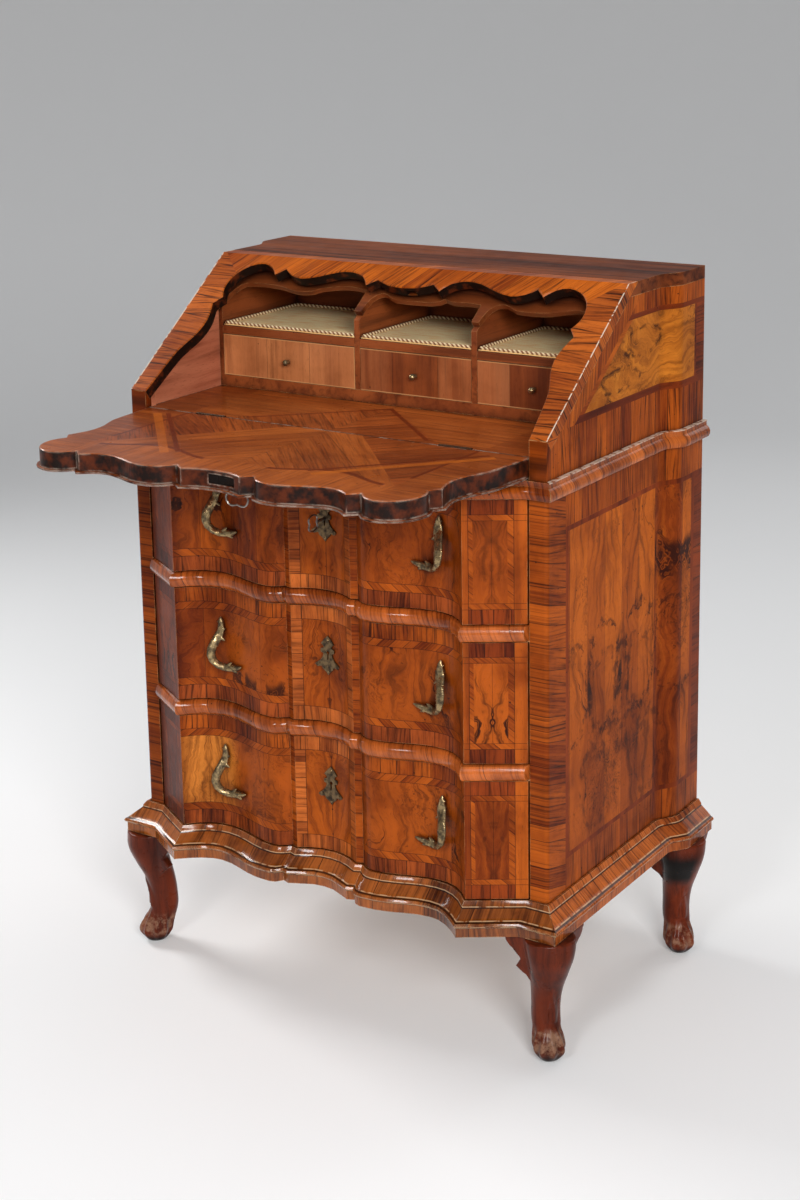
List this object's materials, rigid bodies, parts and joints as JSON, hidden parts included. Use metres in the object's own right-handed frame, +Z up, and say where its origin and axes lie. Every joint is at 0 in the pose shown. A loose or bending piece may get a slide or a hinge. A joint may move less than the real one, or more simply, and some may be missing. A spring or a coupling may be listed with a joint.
{
  "type": "drop-front cabinet",
  "caption": "Walnut writing bureau with a shaped fall standing open over long serpentine drawers, on a moulded plinth with cabriole legs; small drawers and lined pigeonholes inside.",
  "frame": {"origin": "on the floor under the middle of the outline of the part with the fall open", "axes": "+X to the right of someone who sits at the open fall, +Y from the front to the back, +Z up"},
  "size_m": [0.7876, 0.6952, 1.02],
  "materials": {
    "walnut_front": "burr and crossbanded walnut veneer, french polished",
    "walnut_side": "quartered burr walnut veneer with crossbanding, polished",
    "walnut_top": "dark streaky walnut veneer, polished",
    "walnut_moulding": "cross-grain walnut mouldings in short lengths, high polish",
    "walnut_writing": "parquetry of walnut and darker wood, polished",
    "stained_beech": "reddish brown stained hardwood, waxed",
    "pine_inner": "plain softwood, unfinished",
    "brass": "cast and tooled, dulled with age",
    "steel": "plain, darkened",
    "fabric": "ribbed grey green cloth with a twisted braid edge"
  },
  "bodies": {
    "case": {"back_panel": "pine_inner", "bottom_board": "pine_inner", "divider_1": "stained_beech", "divider_2": "stained_beech", "hinge_leaf_bed_left": "brass", "hinge_leaf_bed_right": "brass", "leg_back_left": "stained_beech", "leg_back_right": "stained_beech", "leg_front_left": "stained_beech", "leg_front_right": "stained_beech", "lining_left": "fabric", "lining_middle": "fabric", "lining_right": "fabric", "pigeonhole_back": "walnut_side", "pigeonhole_case": "stained_beech", "pigeonhole_shelf": "stained_beech", "plinth_front": "walnut_moulding", "plinth_left": "walnut_moulding", "plinth_right": "walnut_moulding", "rail_lower": "walnut_moulding", "rail_upper": "walnut_moulding", "side_left": "walnut_side", "side_right": "walnut_side", "slant_frame": "walnut_front", "top_panel": "walnut_top", "valance": "stained_beech", "waist_moulding_left": "walnut_moulding", "waist_moulding_right": "walnut_moulding", "waist_rail": "walnut_moulding", "writing_bed": "walnut_writing"},
    "fall": {"fall_board": "walnut_writing", "hinge_leaf_fall_left": "brass", "hinge_leaf_fall_right": "brass", "fall_lock": "steel"},
    "fall_bolt": {"fall_bolt": "steel"},
    "fall_key": {"fall_key": "steel"},
    "drawer_1_bolt": {"drawer_1_bolt": "steel"},
    "drawer_1_key": {"drawer_1_key": "steel"},
    "drawer_1": {"drawer_1_front": "walnut_front", "drawer_1_box": "pine_inner", "drawer_1_escutcheon": "brass", "drawer_1_handle_left": "brass", "drawer_1_handle_right": "brass", "drawer_1_lock": "steel"},
    "small_drawer_1": {"small_drawer_1": "walnut_front", "small_drawer_1_knob": "brass"},
    "drawer_2": {"drawer_2_front": "walnut_front", "drawer_2_box": "pine_inner", "drawer_2_escutcheon": "brass", "drawer_2_handle_left": "brass", "drawer_2_handle_right": "brass"},
    "small_drawer_2": {"small_drawer_2": "walnut_front", "small_drawer_2_knob": "brass"},
    "drawer_3": {"drawer_3_front": "walnut_front", "drawer_3_box": "pine_inner", "drawer_3_escutcheon": "brass", "drawer_3_handle_left": "brass", "drawer_3_handle_right": "brass"},
    "small_drawer_3": {"small_drawer_3": "walnut_front", "small_drawer_3_knob": "brass"}
  },
  "joints": [
    {"name": "fall_hinge", "type": "hinge", "parent": "case", "child": "fall", "pos_m": [0, -0.06865, 0.82702], "axis": [-1, 0, 0], "range_deg": [0, 143.29]},
    {"name": "fall_key_turn", "type": "hinge", "parent": "fall", "child": "fall_key", "pos_m": [0.012, -0.28983, 0.80902], "axis": [0, 0, 1], "range_deg": [0, 180]},
    {"name": "fall_bolt_slide", "type": "slide", "parent": "fall", "child": "fall_bolt", "axis": [0, -1, 0], "range_m": [0, 0.006]},
    {"name": "drawer_1_slide", "type": "slide", "parent": "case", "child": "drawer_1", "axis": [0, -1, 0], "range_m": [0, 0.3]},
    {"name": "drawer_1_key_turn", "type": "hinge", "parent": "drawer_1", "child": "drawer_1_key", "pos_m": [0, -0.06035, 0.70806], "axis": [0, -1, 0], "range_deg": [0, 180]},
    {"name": "drawer_1_bolt_slide", "type": "slide", "parent": "drawer_1", "child": "drawer_1_bolt", "axis": [0, 0, 1], "range_m": [0, 0.006]},
    {"name": "drawer_2_slide", "type": "slide", "parent": "case", "child": "drawer_2", "axis": [0, -1, 0], "range_m": [0, 0.3]},
    {"name": "drawer_3_slide", "type": "slide", "parent": "case", "child": "drawer_3", "axis": [0, -1, 0], "range_m": [0, 0.3]},
    {"name": "small_drawer_1_slide", "type": "slide", "parent": "case", "child": "small_drawer_1", "axis": [0, 1, 0], "range_m": [-0.08, 0]},
    {"name": "small_drawer_2_slide", "type": "slide", "parent": "case", "child": "small_drawer_2", "axis": [0, 1, 0], "range_m": [-0.12, 0]},
    {"name": "small_drawer_3_slide", "type": "slide", "parent": "case", "child": "small_drawer_3", "axis": [0, 1, 0], "range_m": [-0.08, 0]}
  ],
  "couplings": [
    {"joint": "fall_bolt_slide", "follows": "fall_key_turn", "m_per_rad": 0.0019099},
    {"joint": "drawer_1_bolt_slide", "follows": "drawer_1_key_turn", "m_per_rad": 0.0019099}
  ]
}
